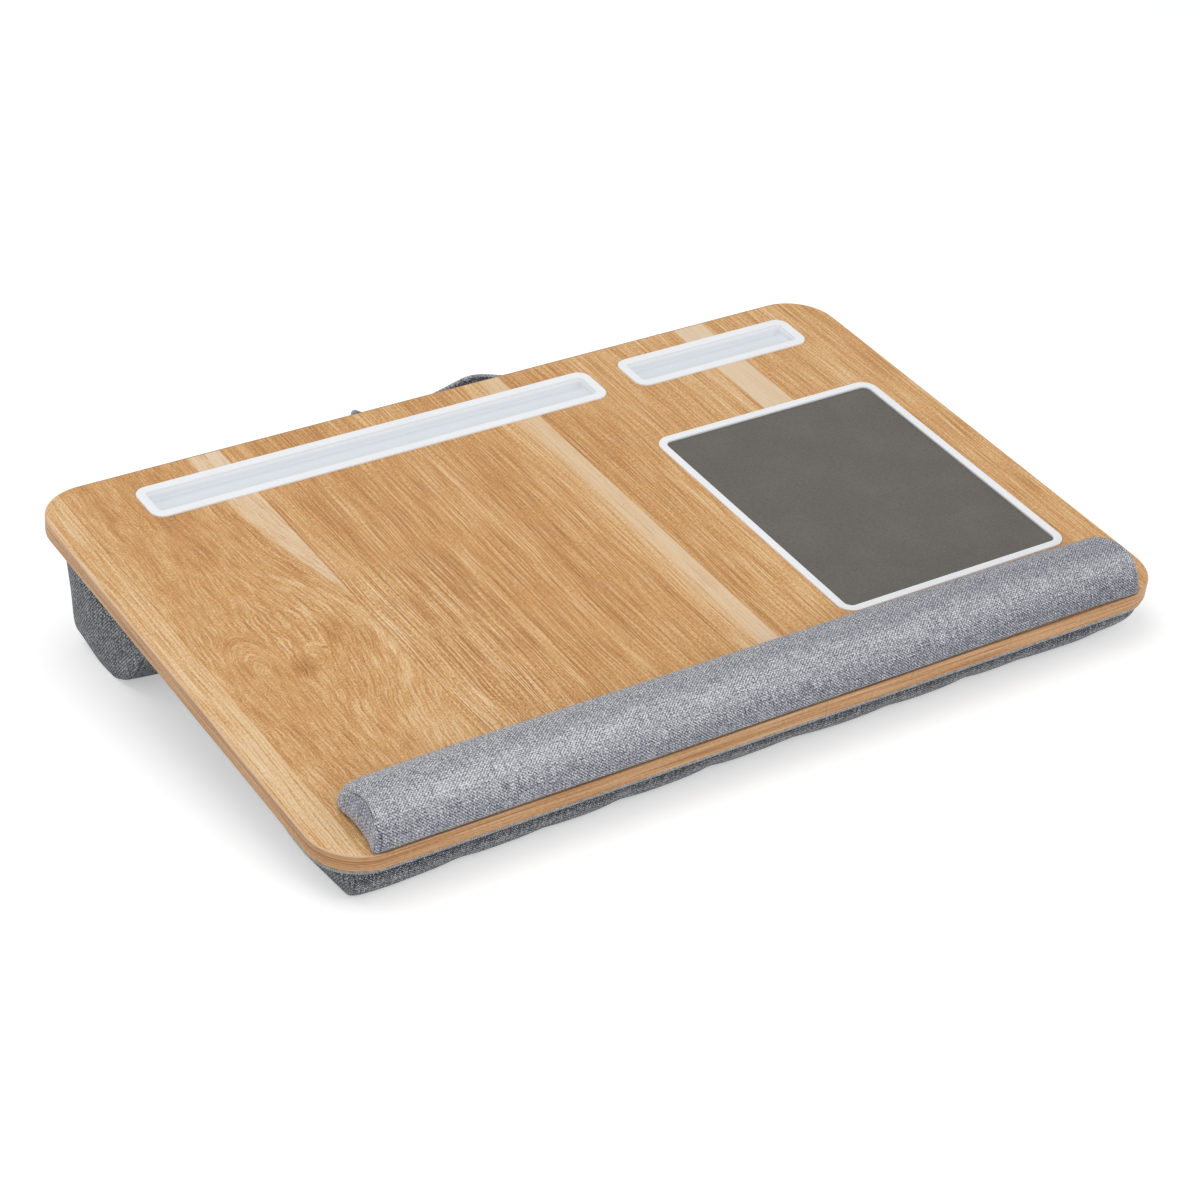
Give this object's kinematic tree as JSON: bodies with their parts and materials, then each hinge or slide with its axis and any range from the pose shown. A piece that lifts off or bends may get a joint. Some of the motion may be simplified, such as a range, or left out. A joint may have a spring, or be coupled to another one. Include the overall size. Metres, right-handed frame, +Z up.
{
  "type": "lap desk",
  "caption": "Cushioned lap desk: a tilted oak-look board with two slot trays, a recessed mouse pad and a padded wrist rest, on a two-bolster cushion with a carry strap",
  "frame": {"origin": "on the floor, under the middle of the whole desk, strap included", "axes": "+X to the user's right along the front edge, +Y away from the user, +Z up; the board rises towards +Y"},
  "size_m": [0.55, 0.379, 0.0842],
  "materials": {
    "core_board": "matte",
    "oak_laminate": "satin",
    "backing_laminate": "matte",
    "oak_edge": "satin",
    "white_plastic": "satin",
    "taupe_leather": "matte",
    "thin_foam": "matte",
    "adhesive_tape": "satin",
    "stiff_sheet": "matte",
    "soft_filling": "matte",
    "grey_twill": "matte",
    "grey_heather": "matte",
    "light_piping": "matte",
    "grey_strap": "matte"
  },
  "bodies": {
    "desk": {"board_core": "core_board", "oak_laminate": "oak_laminate", "backing_laminate": "backing_laminate", "edge_band": "oak_edge", "tablet_tray": "white_plastic", "pen_tray": "white_plastic", "mouse_pad_frame": "white_plastic", "mouse_pad_foam": "thin_foam", "mouse_pad": "taupe_leather", "wrist_rest_tape": "adhesive_tape", "wrist_rest_backer": "stiff_sheet", "wrist_rest_foam": "soft_filling", "wrist_rest_cover": "grey_twill", "panel_tapes": "adhesive_tape", "cushion_panel": "stiff_sheet", "cushion_piping": "light_piping", "cushion_web": "grey_heather", "front_bolster_cover": "grey_heather", "front_bolster_fill": "soft_filling", "rear_bolster_cover": "grey_heather", "rear_bolster_fill": "soft_filling", "strap_anchor_left": "grey_strap", "strap_anchor_right": "grey_strap"},
    "handle": {"carry_strap": "grey_strap"}
  },
  "joints": [
    {"name": "handle_swing", "type": "hinge", "parent": "desk", "child": "handle", "pos_m": [0, 0.16301, 0.0519], "axis": [1, 0, 0], "range_deg": [-90, 15]}
  ]
}
